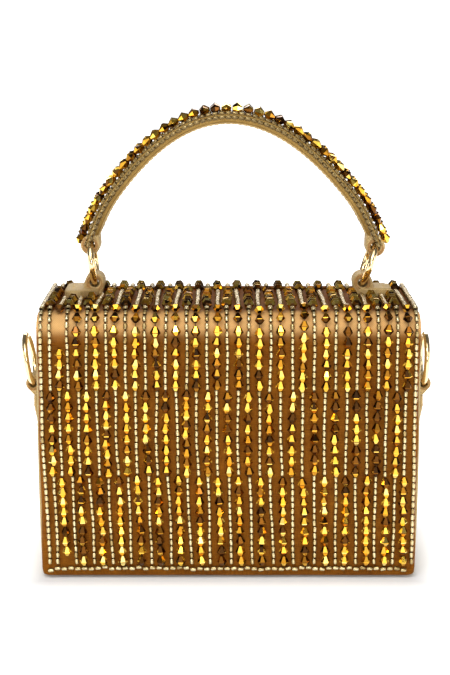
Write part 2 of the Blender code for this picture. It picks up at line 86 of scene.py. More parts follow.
class Nodes:
    """A material's node tree, or another one, with short ways to add to it."""

    def __init__(self, name, tree=None):
        self.tree = tree
        if tree is None:
            self.material = bpy.data.materials.new(name)
            self.material.use_nodes = True
            self.tree = self.material.node_tree
            self.shader = self.tree.nodes["Principled BSDF"]

    def add(self, kind, **values):
        made = self.tree.nodes.new(kind)
        for key, value in values.items():
            setattr(made, key, value)
        return made

    def link(self, source, target):
        self.tree.links.new(source, target)

    def set(self, **values):
        for key, value in values.items():
            self.shader.inputs[key.replace("_", " ")].default_value = value

    def math(self, operation, a, b=None):
        made = self.add("ShaderNodeMath", operation=operation)
        for socket, value in zip(made.inputs, (a, b)):
            if isinstance(value, (int, float)):
                socket.default_value = value
            elif value is not None:
                self.link(value, socket)
        return made.outputs[0]

    def mix(self, factor, a, b, blend="MIX"):
        made = self.add("ShaderNodeMix", data_type="RGBA", blend_type=blend)
        for socket, value in zip((made.inputs[0], made.inputs[6], made.inputs[7]), (factor, a, b)):
            if isinstance(value, (int, float)):
                socket.default_value = value
            elif isinstance(value, tuple):
                socket.default_value = (*value, 1)
            else:
                self.link(value, socket)
        return made.outputs[2]

    def ramp(self, value, stops):
        made = self.add("ShaderNodeValToRGB")
        while len(made.color_ramp.elements) < len(stops):
            made.color_ramp.elements.new(0.5)
        for element, (place, colour) in zip(made.color_ramp.elements, stops):
            element.position = place
            element.color = (*colour, 1)
        self.link(value, made.inputs[0])
        return made.outputs[0]

    def remap(self, value, begin, end, low, high, **how):
        made = self.add("ShaderNodeMapRange", **how)
        for socket, number in zip(("From Min", "From Max", "To Min", "To Max"), (begin, end, low, high)):
            made.inputs[socket].default_value = number
        self.link(value, made.inputs[0])
        return made.outputs[0]

    def noise(self, vector, scale, detail=3.0, stretch=None):
        if stretch:
            mapping = self.add("ShaderNodeMapping")
            mapping.inputs["Scale"].default_value = stretch
            self.link(vector, mapping.inputs["Vector"])
            vector = mapping.outputs[0]
        made = self.add("ShaderNodeTexNoise")
        made.inputs["Scale"].default_value = scale
        made.inputs["Detail"].default_value = detail
        self.link(vector, made.inputs["Vector"])
        return made.outputs[0]

    def bump(self, height, strength, distance):
        made = self.add("ShaderNodeBump")
        made.inputs["Strength"].default_value = strength
        made.inputs["Distance"].default_value = distance
        self.link(height, made.inputs["Height"])
        self.link(made.outputs[0], self.shader.inputs["Normal"])


def cloth(name, dark, light, thread=0.42, metallic=0.3, roughness=0.5, sheen=0.25, relief=0.6, gloss=0.2, painted_fold_highlight=None):
    """Woven cloth with shiny yarn: warp and weft of the given pitch in millimetres, uneven yarn and soft patches."""
    n = Nodes(name)
    uv = n.add("ShaderNodeTexCoord").outputs["UV"]
    split = n.add("ShaderNodeSeparateXYZ")
    n.link(uv, split.inputs[0])
    turn = 2 * math.pi / (thread * MM)
    warp = n.math("ABSOLUTE", n.math("SINE", n.math("MULTIPLY", split.outputs[0], turn / 2)))
    weft = n.math("ABSOLUTE", n.math("SINE", n.math("MULTIPLY", split.outputs[1], turn / 2)))
    over = n.math("SINE", n.math("MULTIPLY", n.math("ADD", split.outputs[0], split.outputs[1]), turn / 2))
    over = n.math("MULTIPLY", n.math("ADD", over, 1.0), 0.5)
    weave = n.math(
        "ADD",
        n.math("MULTIPLY", warp, over),
        n.math("MULTIPLY", weft, n.math("SUBTRACT", 1.0, over)),
    )
    slub_u = n.noise(uv, 1.0, 2.0, (260, 2600, 1))
    slub_v = n.noise(uv, 1.0, 2.0, (2600, 260, 1))
    slub = n.math("MULTIPLY", n.math("ADD", slub_u, slub_v), 0.5)
    patch = n.noise(uv, 70.0, 4.0)
    tone = n.math("ADD", n.math("MULTIPLY", slub, 0.75), n.math("MULTIPLY", patch, 0.35))
    colour = n.ramp(tone, [(0.36, dark), (0.72, light)])
    # A paler colour mixed in where the flap's attribute is set: a painted highlight along the fold, where light falls
    # on it.
    if painted_fold_highlight:
        colour = n.mix(n.add("ShaderNodeAttribute", attribute_name="painted_fold_highlight").outputs["Fac"], colour, painted_fold_highlight)
    gaps = n.ramp(weave, [(0.1, (0.45, 0.45, 0.45)), (0.55, (1, 1, 1))])
    n.link(n.mix(1.0, colour, gaps, "MULTIPLY"), n.shader.inputs["Base Color"])
    n.link(n.math("ADD", n.math("MULTIPLY", slub, -0.3), roughness + 0.15), n.shader.inputs["Roughness"])
    n.set(Metallic=metallic, Sheen_Weight=sheen, Sheen_Roughness=0.4, Specular_IOR_Level=gloss)
    n.shader.inputs["Sheen Tint"].default_value = (*light, 1)
    n.bump(n.math("ADD", weave, n.math("MULTIPLY", patch, 0.8)), relief, 0.00012)
    return n.material


def glass(name, stops, **values):
    """Bead glass. Each facet carries its own tone, for what shows through it; on the tube beads the tones are painted
    highlight and painted shade.
    """
    n = Nodes(name)
    tone = n.add("ShaderNodeAttribute", attribute_name="tone").outputs["Fac"]
    n.link(n.ramp(tone, stops), n.shader.inputs["Base Color"])
    n.set(**values)
    return n.material


def polished(name, colour, roughness):
    """Plated metal with faint polishing marks and a slight waviness."""
    n = Nodes(name)
    where = n.add("ShaderNodeTexCoord").outputs["Object"]
    marks = n.noise(where, 900.0, 5.0)
    cloud = n.noise(where, 90.0, 3.0)
    n.link(n.ramp(cloud, [(0.3, tuple(c * 0.93 for c in colour)), (0.7, colour)]), n.shader.inputs["Base Color"])
    n.link(n.math("ADD", n.math("MULTIPLY", marks, 0.08), roughness - 0.03), n.shader.inputs["Roughness"])
    n.set(Metallic=1.0)
    n.bump(n.math("ADD", marks, n.math("MULTIPLY", cloud, 3.0)), 0.08, 0.00005)
    return n.material


def plain(name, dark, light, roughness=0.7, metallic=0.0, scale=500.0):
    """A matt, slightly uneven surface, such as board or thread."""
    n = Nodes(name)
    where = n.add("ShaderNodeTexCoord").outputs["Object"]
    grain = n.noise(where, scale, 5.0)
    n.link(n.ramp(grain, [(0.35, dark), (0.65, light)]), n.shader.inputs["Base Color"])
    n.set(Roughness=roughness, Metallic=metallic)
    n.bump(grain, 0.3, 0.0001)
    return n.material


MATERIALS = {
    "flap": cloth(
        "flap_cloth",
        (0.11, 0.028, 0.002),
        (0.33, 0.115, 0.008),
        metallic=0.12,
        roughness=0.6,
        sheen=0.0,
        gloss=0.06,
        # the paler colour of the painted highlight over the fold
        painted_fold_highlight=(0.85, 0.50, 0.19),
    ),
    "body": cloth("body_cloth", (0.34, 0.22, 0.075), (0.58, 0.42, 0.18), metallic=0.3, roughness=0.5, sheen=0.1),
    "tab": cloth("tab_cloth", (0.42, 0.27, 0.10), (0.68, 0.50, 0.23), thread=0.55, metallic=0.3, sheen=0.1, relief=0.9),
    "strap": cloth("strap_cloth", (0.26, 0.14, 0.03), (0.46, 0.29, 0.08), metallic=0.35, roughness=0.5, sheen=0.1),
    "lining": cloth(
        "lining_satin", (0.20, 0.12, 0.045), (0.34, 0.22, 0.09), thread=0.22, metallic=0.1, sheen=0.5, relief=0.25
    ),
    # Foil-lined cut glass, and silver-lined tube beads of a paler gold
    "crystal": glass(
        "crystal_beads",
        [
            (0.0, (0.02, 0.008, 0.001)),
            (0.3, (0.17, 0.06, 0.005)),
            (0.6, (0.72, 0.33, 0.02)),
            (0.85, (0.98, 0.62, 0.08)),
            (1.0, (1.0, 0.80, 0.26)),
        ],
        Metallic=1.0,
        Roughness=0.13,
        Coat_Weight=0.12,
        Coat_Roughness=0.03,
    ),
    "tube": glass(
        "tube_beads",
        [
            (0.0, (0.05, 0.028, 0.006)),
            (0.4, (0.36, 0.24, 0.075)),
            (0.7, (0.62, 0.50, 0.24)),
            (1.0, (0.88, 0.76, 0.48)),
        ],
        Metallic=0.65,
        Roughness=0.24,
        Coat_Weight=0.2,
        Coat_Roughness=0.05,
    ),
    "thread": plain("bead_thread", (0.05, 0.025, 0.006), (0.12, 0.065, 0.02), 0.6),
    "fold": plain("folded_edge", (0.30, 0.13, 0.03), (0.52, 0.27, 0.08), 0.55, 0.2, 1500.0),
    "stitch": plain("stitch_thread", (0.50, 0.34, 0.13), (0.70, 0.52, 0.24), 0.45, 0.2, 2500.0),
    "metal": polished("ring_metal", (1.0, 0.77, 0.42), 0.09),
    "magnet": polished("magnet_metal", (0.55, 0.55, 0.56), 0.3),
    "board": plain("grey_board", (0.30, 0.28, 0.25), (0.48, 0.45, 0.41), 0.9),
}

# ------------------------------------------------------------------ mesh making


def make(name, verts, faces, look, uvs=None, tones=None, smooth=True, closed=True):
    """A mesh object from points in millimetres, with texture positions in metres and a tone for each face."""
    mesh = bpy.data.meshes.new(name)
    mesh.from_pydata((np.asarray(verts, float) * MM).tolist(), [], faces)
    if uvs is not None:
        layer = mesh.uv_layers.new(name="UVMap")
        layer.data.foreach_set("uv", (np.asarray(uvs, float) * MM).ravel())
    if tones is not None:
        corners = np.repeat(np.asarray(tones, float), [len(f) for f in faces])
        layer = mesh.color_attributes.new("tone", "FLOAT_COLOR", "CORNER")
        layer.data.foreach_set("color", np.column_stack([corners] * 3 + [np.ones(len(corners))]).ravel())
    if closed:
        bm = bmesh.new()
        bm.from_mesh(mesh)
        bmesh.ops.recalc_face_normals(bm, faces=bm.faces)
        if bm.calc_volume(signed=True) < 0:
            bmesh.ops.reverse_faces(bm, faces=bm.faces)
        bm.to_mesh(mesh)
        bm.free()
    if smooth:
        mesh.shade_smooth()
    mesh.materials.append(MATERIALS[look])
    made = bpy.data.objects.new(name, mesh)
    bpy.context.scene.collection.objects.link(made)
    return made


def skin(rings, around, start=0, loop=False, caps=False):
    """Faces between neighbouring rings of points, and over the two end rings."""
    faces = []
    for i in range(rings if loop else rings - 1):
        here, there = start + i * around, start + (i + 1) % rings * around
        faces += [(here + j, here + (j + 1) % around, there + (j + 1) % around, there + j) for j in range(around)]
    if caps:
        last = start + (rings - 1) * around
        faces += [tuple(range(start, start + around)), tuple(reversed(range(last, last + around)))]
    return faces


def loft(name, rows, look, loop=False):
    """A closed tube through rings of points. Its texture runs in real lengths round and along it."""
    rows = np.asarray(rows, float)
    count, around, _ = rows.shape
    ring = np.concatenate([rows, rows[:, :1]], 1)
    line = np.concatenate([rows, rows[:1]]) if loop else rows
    across = np.concatenate([[0], np.cumsum(np.linalg.norm(np.diff(ring, axis=1), axis=2).mean(0))])
    along = np.concatenate([[0], np.cumsum(np.linalg.norm(np.diff(line, axis=0), axis=2).mean(1))])
    uvs = []
    for i in range(count if loop else count - 1):
        for j in range(around):
            uvs += [
                (across[j], along[i]),
                (across[j + 1], along[i]),
                (across[j + 1], along[i + 1]),
                (across[j], along[i + 1]),
            ]
    if not loop:
        for row, turn in ((rows[0], 1), (rows[-1], -1)):
            uvs += [(x + y, z) for x, y, z in row[::turn]]
    made = make(name, rows.reshape(-1, 3), skin(count, around, loop=loop, caps=not loop), look, uvs)
    made.data.set_sharp_from_angle(angle=math.radians(50))
    return made


def distances(points):
    """How far along a chain each of its points is."""
    return np.concatenate([[0], np.cumsum(np.linalg.norm(np.diff(points, axis=0), axis=1))])


def reach_of(outline, direction):
    """How far a convex outline round the origin reaches in a direction."""
    best = 1e9
    for (ax, az), (bx, bz) in zip(outline, np.roll(outline, -1, axis=0)):
        ex, ez = bx - ax, bz - az
        cross = direction[0] * ez - direction[1] * ex
        if abs(cross) < 1e-12:
            continue
        t = (ax * ez - az * ex) / cross
        u = (ax * direction[1] - az * direction[0]) / cross
        if t > 0 and -1e-9 <= u <= 1 + 1e-9:
            best = min(best, t)
    return best


def hull(points):
    """The convex outline of flat points, in turning order."""
    points = sorted(map(tuple, points))

    def side(candidates):
        out = []
        for p in candidates:
            while len(out) > 1:
                (ax, az), (bx, bz) = out[-2], out[-1]
                if (bx - ax) * (p[1] - az) - (bz - az) * (p[0] - ax) > 0:
                    break
                out.pop()
            out.append(p)
        return out[:-1]

    return np.array(side(points) + side(points[::-1]))


def sleeve(name, hole, bore, round_radius, corners, half, look, corner=0.9):
    """Cloth wound tightly round a ring's wire: a round lobe drawn out to some corners, with a bore for the wire.
    The corners are (x, z) points from the bore's centre."""
    turn = np.linspace(0, 2 * math.pi, 48, endpoint=False)
    outline = hull(np.concatenate([np.column_stack([np.cos(turn), np.sin(turn)]) * round_radius, np.asarray(corners)]))
    rows = []
    for a in np.linspace(0, 2 * math.pi, 72, endpoint=False):
        direction = np.array([math.cos(a), math.sin(a)])
        reach = reach_of(outline, direction)
        section = slab_section(half, reach - bore, corner, 14)
        radial = reach + section[:, 1] + 0.12 * np.cos(section[:, 0] * 2.6) * (section[:, 1] > -0.1)
        rows.append(
            np.column_stack(
                [hole[0] + radial * direction[0], hole[1] + section[:, 0], hole[2] + radial * direction[1]]
            )
        )
    return loft(name, rows, look, loop=True)


def wound(name, hole, bore, radius, corners, half, body, corner=0.9):
    """A strip of cloth folded round a ring, on a body."""
    made = sleeve(name, hole, bore, radius, corners, half, "tab", corner)
    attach(made, body)
    return made


def spiral(hole, half, bore, reach, sign, turns=1.9, steps=70):
    """The end of a wound cloth as a fine cord on both faces of a sleeve."""
    chains = []
    for face in (-1, 1):
        chain = []
        for t in np.linspace(0, 1, steps):
            a = sign * 2 * math.pi * turns * t + 0.6
            r = bore + 0.5 + (reach - bore - 0.9) * t
            chain.append((hole[0] + r * math.cos(a), hole[1] + face * (half + 0.05), hole[2] + r * math.sin(a)))
        chains.append(chain)
    return chains


def slab_section(half, thick, corner, columns):
    """A flat strip's cross-section as (across, height) points, going round it once, with rounded edges."""
    corner = min(corner, thick / 2 * 0.999)
    turn = np.linspace(0, math.pi / 2, 5)
    right_top = np.column_stack([half - corner + corner * np.sin(turn), corner * np.cos(turn) - corner])
    right_low = np.column_stack([half - corner + corner * np.cos(turn), -thick + corner - corner * np.sin(turn)])
    top = np.column_stack([np.linspace(-half + corner, half - corner, columns)[1:-1], np.zeros(columns - 2)])
    right = np.concatenate([right_top, right_low])
    left = right[::-1] * (-1, 1)
    low = np.column_stack([np.linspace(half - corner, -half + corner, columns)[1:-1], np.full(columns - 2, -thick)])
    return np.concatenate([top, right, low, left])


def rounding(near, radius):
    """How far a rounded edge has come in from its face, this near to the end."""
    return 0.0 if near >= radius else radius - math.sqrt(max(radius**2 - (radius - near) ** 2, 0))


def rounded_ends(distance, total, radius):
    """The same this far along a surface with both its ends rounded."""
    return rounding(min(distance, total - distance), radius)


def end_steps(total, radius, middle):
    """Distances along a strip, close together at its rounded ends."""
    turn = radius * (1 - np.cos(np.linspace(0, math.pi / 2, 5)))
    inner = np.asarray([d for d in middle if radius * 1.2 < d < total - radius * 1.2])
    return np.concatenate([turn, inner, total - turn[::-1]])


class Path:
    """A smooth line in a plane, followed by distance. Its points and directions are in three dimensions."""

    def __init__(self, points, across):
        self.points = np.asarray(points, float)
        self.across = np.asarray(across, float)
        self.at = distances(self.points)
        self.total = self.at[-1]

    def point(self, distance):
        return np.array([np.interp(distance, self.at, self.points[:, i]) for i in range(3)])

    def frame(self, distance):
        """(point, direction along, direction across, direction out) at a distance."""
        here = self.point(distance)
        step = 0.4
        low, high = max(distance - step, 0), min(distance + step, self.total)
        along = self.point(high) - self.point(low)
        along /= np.linalg.norm(along)
        out = np.cross(self.across, along)
        return here, along, self.across, out / np.linalg.norm(out)


def outward_path(points, out):
    """A path whose outer side, at its middle, is the one that faces a direction."""
    path = Path(points, Y)
    if path.frame(path.total / 2)[3] @ out < 0:
        path = Path(points, -Y)
    return path


def ribbon(name, path, half, thick, look, corner=0.45, taper=None, columns=12, steps=None, crown=0.0):
    """A strip of folded cloth along a path, its outer face on the path, with softly rounded edges and ends."""
    wanted = np.arange(0, path.total, 1.2) if steps is None else steps
    rows = []
    for d in end_steps(path.total, corner, wanted):
        point, _, across, out = path.frame(d)
        wide = half if taper is None else taper(d, path.total)
        shrink = rounded_ends(d, path.total, corner)
        section = slab_section(wide - shrink, max(thick - 2 * shrink, 0.05), corner, columns)
        rise = crown * (1 - (section[:, 0] / max(wide, 1e-6)) ** 2) * (section[:, 1] > -thick / 2)
        height = section[:, 1] - shrink + rise
        rows.append(point + np.outer(section[:, 0], across) + np.outer(height, out))
    return loft(name, rows, look)


def tube(name, chains, radius, look, sides=5):
    """Round threads along chains of points, as one mesh."""
    verts, faces = [], []
    for chain in chains:
        chain = np.asarray(chain, float)
        direction = np.gradient(chain, axis=0)
        direction /= np.linalg.norm(direction, axis=1)[:, None] + 1e-12
        helper = np.where(np.abs(direction[:, :1]) < 0.9, [[1.0, 0, 0]], [[0, 1.0, 0]])
        side = np.cross(direction, helper)
        side /= np.linalg.norm(side, axis=1)[:, None]
        other = np.cross(direction, side)
        start = len(verts)
        for i, point in enumerate(chain):
            for k in range(sides):
                a = 2 * math.pi * k / sides
                verts.append(point + radius * (math.cos(a) * side[i] + math.sin(a) * other[i]))
        faces += skin(len(chain), sides, start, caps=True)
    return make(name, verts, faces, look)


def seam(points, out):
    """A line of points that all face the same way, for stitches."""
    return [(np.asarray(point, float), out) for point in points]


def stitches(name, lines, look="stitch", length=2.4, gap=1.0, radius=0.2, sink=0.04):
    """Rows of hand-sized machine stitches. Each line is a list of (point, outward direction)."""
    chains = []
    for line in lines:
        points = np.array([p for p, _ in line], float)
        outs = np.array([o for _, o in line], float)
        at = distances(points)
        start = gap / 2
        while start + length < at[-1]:
            marks = start + length * np.array([0, 0.12, 0.5, 0.88, 1])
            lift = np.array([-0.9, 0.35, 0.6, 0.35, -0.9]) * radius - sink
            chains.append(
                [
                    [np.interp(m, at, points[:, i]) + h * np.interp(m, at, outs[:, i]) for i in range(3)]
                    for m, h in zip(marks, lift)
                ]
            )
            start += length + gap
    return tube(name, chains, radius, look)


# ------------------------------------------------------------------ bead shapes


def bead_template(profile, sides):
    """A turned or faceted bead along Y: its points, faces, and for each face its ring and place in the ring."""
    verts = [
        (r * math.cos(2 * math.pi * k / sides), y, r * math.sin(2 * math.pi * k / sides))
        for y, r in profile
        for k in range(sides)
    ]
    marks = [(i, k) for i in range(len(profile) - 1) for k in range(sides)] + [(-1, 0), (-1, 1)]
    return np.array(verts), skin(len(profile), sides, caps=True), marks


CRYSTAL_D, CRYSTAL_H = 4.6, 4.6
TUBE_D, TUBE_H = 1.95, 2.7
CRYSTAL_PITCH, TUBE_PITCH = 5.0, 3.15
CRYSTAL_SIDES, TUBE_SIDES = 6, 10
CRYSTAL = bead_template(
    [(-CRYSTAL_H / 2, 0.9), (0.35, CRYSTAL_D / 2), (0.75, CRYSTAL_D / 2), (CRYSTAL_H / 2, 1.05)], CRYSTAL_SIDES
)
SHARP_SIDES = 8
SHARP = bead_template([(-CRYSTAL_H / 2, 0.85), (0, 2.5), (CRYSTAL_H / 2, 0.85)], SHARP_SIDES)
TUBE_BEAD = bead_template(
    [
        (-TUBE_H / 2, 0.5),
        (-TUBE_H / 2 + 0.12, TUBE_D / 2 - 0.16),
        (-TUBE_H / 2 + 0.45, TUBE_D / 2),
        (TUBE_H / 2 - 0.45, TUBE_D / 2),
        (TUBE_H / 2 - 0.12, TUBE_D / 2 - 0.16),
        (TUBE_H / 2, 0.5),
    ],
    TUBE_SIDES,
)


def crystal_tones(marks):
    """Tones for one crystal's facets: most beads are bright, some amber, and some dark with a lit facet."""
    kind = RNG.random()
    if kind < 0.56:
        low, high = 0.62, 1.0
    elif kind < 0.80:
        low, high = 0.32, 0.8
    else:
        low, high = 0.02, 0.42
    tones = low + (high - low) * RNG.random(len(marks))
    if kind >= 0.80:
        tones[RNG.integers(0, len(marks) - 2, 3)] = 0.6 + 0.3 * RNG.random(3)
    else:
        dark = RNG.random(len(marks)) < (0.10 if kind < 0.56 else 0.25)
        tones = np.where(dark, 0.25 * RNG.random(len(marks)), tones)
    tones[[i for i, (ring, _) in enumerate(marks) if ring == -1]] = 0.05
    return tones


def tube_tones(marks, painted_grazing_grey=0.0):
    """Tones for one tube bead: a painted highlight down the facets that face out from the cloth, for its silver lining
    seen through the glass, painted shade on the facets each side, dark rims.
    """
    base = 0.8 + 0.2 * RNG.random()
    if RNG.random() < 0.08:
        base *= 0.6
    tones = []
    for ring, k in marks:
        if ring in (-1, 0, 4):
            tones.append(0.05 * base)
        else:
            # Painted highlight and painted shade: facets turned out from the cloth are bright, those turned to the
            # sides dark.
            facing = math.cos(2 * math.pi * k / TUBE_SIDES)
            tones.append(base * (0.18 + 0.74 * max(facing, 0) ** 3))
    # On the flap's top the tones are pulled towards an even grey: a painted reflection, for glass seen at a grazing
    # angle.
    return np.array(tones) * (1 - painted_grazing_grey) + 0.3 * painted_grazing_grey


def bead_mesh(name, places, template, sides, tones_of, look, smooth, loose=0.11):
    """Beads as one mesh, each resting on one of its sides. A place is (centre, across, along, out, scale)."""
    verts, faces, marks = template
    points, made_faces, tones = [], [], []
    half_side = math.pi / 2 - math.pi / sides
    for number, (centre, across, along, out, scale) in enumerate(places):
        spin = half_side + RNG.normal(0, loose)
        tilt = RNG.normal(0, 0.04, 2)
        axis = along + tilt[0] * across + tilt[1] * out
        axis = axis / np.linalg.norm(axis)
        side = across * math.cos(spin) + out * math.sin(spin)
        side = side - axis * (side @ axis)
        side = side / np.linalg.norm(side)
        third = np.cross(side, axis)
        points.append(centre + scale * (verts @ np.array([side, axis, third])))
        base = number * len(verts)
        made_faces += [tuple(base + v for v in f) for f in faces]
        tones.append(tones_of(marks))
    return make(
        name, np.concatenate(points), made_faces, look, tones=np.concatenate(tones), smooth=smooth, closed=False
    )


# ------------------------------------------------------------------ flap

REAR_Y = BACK_Y - 1.6
TOP_LENGTH = REAR_Y - FOLD_Y
FOLD_LENGTH = math.pi / 2 * FOLD_R
FRONT_LENGTH = FOLD_Z - FLAP_LOW[2]
FLAP_LENGTH = TOP_LENGTH + FOLD_LENGTH + FRONT_LENGTH


def flap_point(s):
    """The flap's outer face at distance s from the back: (point in Y and Z, direction along, direction out)."""
    if s < TOP_LENGTH:
        return np.array([0, REAR_Y - s, TOP_Z]), np.array([0, -1.0, 0]), np.array([0, 0, 1.0])
    if s < TOP_LENGTH + FOLD_LENGTH:
        a = math.pi / 2 + (s - TOP_LENGTH) / FOLD_R
        out = np.array([0, math.cos(a), math.sin(a)])
        return np.array([0, FOLD_Y, FOLD_Z]) + FOLD_R * out, np.array([0, -math.sin(a), math.cos(a)]), out
    return (
        np.array([0, FACE_Y, FOLD_Z - (s - TOP_LENGTH - FOLD_LENGTH)]),
        np.array([0, 0, -1.0]),
        np.array([0, -1.0, 0]),
    )


def at_height(z):
    """Distance along the flap of a height on its front."""
    return TOP_LENGTH + FOLD_LENGTH + FOLD_Z - z


def flap_half(s):
    """The flap is a little uneven along its edges and rounded at its lower corners."""
    return FLAP_HALF - 0.1 + 0.22 * math.sin(s * 0.11) - rounding(FLAP_LENGTH - s, 3.2)


def surface_wave(x, s):
    """Slight unevenness of the covered board, in millimetres."""
    return 0.14 * np.sin(x * 0.13 + s * 0.05) * np.sin(s * 0.09 + 1.0) + 0.06 * np.sin(x * 0.61 + s * 0.37)


def build_flap():
    """Cloth over both boards of the flap, in one piece over the fold, with a lining sewn inside."""
    corner = 1.5
    steps = np.concatenate(
        [
            np.arange(0, TOP_LENGTH, 3.0),
            TOP_LENGTH + np.linspace(0, FOLD_LENGTH, 19),
            np.arange(TOP_LENGTH + FOLD_LENGTH + 2, FLAP_LENGTH, 3.0),
        ]
    )
    rows, painted_fold_highlight = [], []
    for s in end_steps(FLAP_LENGTH, corner, steps):
        # A painted highlight: a paler band across the fold, strongest a little past its middle.
        painted_fold_highlight.append(0.85 * math.exp(-(((s - TOP_LENGTH - 0.55 * FOLD_LENGTH) / (0.5 * FOLD_LENGTH)) ** 4)))
        base, _, out = flap_point(min(s, FLAP_LENGTH))
        shrink = rounded_ends(s, FLAP_LENGTH, corner)
        section = slab_section(flap_half(s) - shrink * 0.4, FLAP_THICK - 2 * shrink, corner, 40)
        wave = np.where(section[:, 1] > -FLAP_THICK / 2, surface_wave(section[:, 0], s), 0)
        rows.append(base + np.outer(section[:, 0], X) + np.outer(section[:, 1] - shrink + wave - 0.1, out))
    cover = loft("flap_cloth_cover", rows, "flap")
    # The painted highlight's weights, for the cloth material to mix in its paler colour.
    paler = cover.data.attributes.new("painted_fold_highlight", "FLOAT", "POINT")
    paler.data.foreach_set("value", np.repeat(painted_fold_highlight, len(rows[0])).astype(np.float32))
    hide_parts("flap_top_cover", "flap_front_cover", "flap_top_board", "flap_front_board")
    across_fold(cover)
    margin = 3.5  # the lining stops short of the cover's ends
    rows = []
    for s in end_steps(FLAP_LENGTH - 2 * margin, 0.3, steps - margin):
        base, _, out = flap_point(s + margin)
        section = slab_section(FLAP_HALF - 4.5, 0.5, 0.24, 30)
        rows.append(base + np.outer(section[:, 0], X) + np.outer(section[:, 1] - FLAP_THICK + 0.25, out))
    lining = loft("flap_lining_cloth", rows, "lining")
    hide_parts("flap_top_lining", "flap_front_lining")
    across_fold(lining)
    inset, depth = 6, FLAP_THICK + 0.27
    lines = []
    for sign in (-1, 1):
        line = []
        for s in np.arange(inset, FLAP_LENGTH - inset, 2.0):
            base, _, out = flap_point(s)
            line.append((base + sign * (FLAP_HALF - inset) * X - depth * out, -out))
        lines.append(line)
    base, _, out = flap_point(FLAP_LENGTH - inset)
    across = np.arange(-FLAP_HALF + inset, FLAP_HALF - 5, 2.0)
    lines.append(seam([base + x * X - depth * out for x in across], -out))
    across_fold(stitches("flap_lining_stitches", lines))


def across_fold(piece):
    """Applies the piece's placement to its mesh and leaves it on no body."""
    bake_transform(piece)


# Strings of beads on the flap
SPACES = 37
STRING_HALF = 87.9
STRING_DRIFT = (-2.6, -1.7, 0.4, -0.5)  # sizes of the slow waves that make the gaps uneven
THREAD = 0.2
TOP_CRYSTAL, TOP_TUBE = 1.07, 1.35  # how much larger the beads on the flap's top are
BANDS = (REAR_Y - 17.8, TOP_LENGTH, at_height(94.0), at_height(52.1), at_height(7.6))


def string_x(k, s):
    """Across the flap, string k at distance s: uneven gaps, a slight wander, and a lean low on the front."""
    share = k / SPACES
    drift = sum(size * math.sin(n * math.pi * share) for n, size in enumerate(STRING_DRIFT, 1))
    x = -STRING_HALF + 2 * STRING_HALF * share + drift
    fall = np.clip((s - TOP_LENGTH - FOLD_LENGTH) / FRONT_LENGTH, 0, 1)
    lean = 3.9 * max(fall - 0.43, 0) * (0.2 + 0.8 / (1 + math.exp((x - 42) / 8))) * min(1, 6 * (1.02 - abs(share)))
    phase = 2.4 * k
    wander = 0.28 * math.sin(s * 0.045 + phase) + 0.18 * math.sin(s * 0.13 + 2 * phase)
    return x + lean + wander * (0.4 if k in (0, SPACES) else 1)


def tab_here(x, s):
    """True under one of the handle's tabs, where nothing is sewn."""
    y = REAR_Y - s
    low, high = TAB_BOX["right"]
    front = low[1] - PAD_FRONT["right" if x > 0 else "left"] * np.clip((abs(x) - 60) / 8, 0, 1)
    return low[0] - 1.6 < abs(x) < high[0] + 0.6 and front - 1.6 < y < high[1] + 1.6


PAD_LIFT = 1.3  # how much thicker a handle tab's folded outer end is
# How much further forwards the sewn-down end of each handle tab reaches than its loop
PAD_FRONT = {"left": 11.0, "right": 4.0}
TAB_BOX = {n: mm_box(f"{n}_handle_tab") for n in SIDES}


def bead_place(k, s, height, jitter, scale):
    """Where a bead of string k lies, as bead_mesh takes it, with its axis along the leaning string."""
    base, along, out = flap_point(s)
    ahead = string_x(k, s + 0.5) - string_x(k, s - 0.5)
    along = along + ahead * X
    along = along / np.linalg.norm(along)
    x = string_x(k, s) + RNG.normal(0, jitter)
    centre = base + x * X + height * out
    across = np.cross(along, out)
    return centre, across, along, out, scale


def flap_beads():
    """Every string of the flap: lists of crystal places and tube bead places, each with its distance s."""
    crystals, tubes, threads = [], [], []
    for k in range(SPACES + 1):
        start = 0.6 + 0.5 * RNG.random()
        chain = []
        for band, end in enumerate(BANDS):
            stop = end + RNG.normal(0, 0.35) * (band < 4 and 0 < k < SPACES)
            crystal = 0 < k < SPACES and k % 2 == band % 2
            pitch = CRYSTAL_PITCH if crystal else TUBE_PITCH
            count = max(int(round((stop - start) / pitch)), 1)
            pitch = (stop - start) / count
            for i in range(count):
                s = start + (i + 0.5) * pitch
                x = string_x(k, s)
                if tab_here(x, s):
                    continue
                if crystal:
                    # Beads are missing from the third string: at the fold, and the last one at the hem
                    if k == 2 and (abs(s - TOP_LENGTH - FOLD_LENGTH + 1) < 5.2 or (band == 4 and i == count - 1)):
                        continue
                    size = (TOP_CRYSTAL if s < TOP_LENGTH else 1.0) + RNG.normal(0, 0.025)
                    place = bead_place(k, s, CRYSTAL_D / 2 + 0.1, 0.12, size)
                    crystals.append((s, place))
                else:
                    fat = TOP_TUBE if s < TOP_LENGTH + 3 else 1.0
                    place = bead_place(k, s, TUBE_D / 2 * fat + 0.05, 0.06, fat + RNG.normal(0, 0.03))
                    tubes.append((s, place))
                chain.append((s, place[0]))
            start = stop
        threads.append(chain)
    for x in np.arange(-STRING_HALF + 2.2, STRING_HALF - 1.5, TUBE_PITCH + 0.12):
        s = at_height(5.6 + RNG.normal(0, 0.28) - 1.2 * max(0, abs(x) - 80) / 8)
        base, along, out = flap_point(s)
        lean = RNG.normal(0, 0.09)
        axis = X * math.cos(lean) + along * math.sin(lean)
        place = (base + x * X + (TUBE_D / 2 + 0.05) * out, np.cross(axis, out), axis, out, 1.0)
        tubes.append((s, place))
    return crystals, tubes, threads


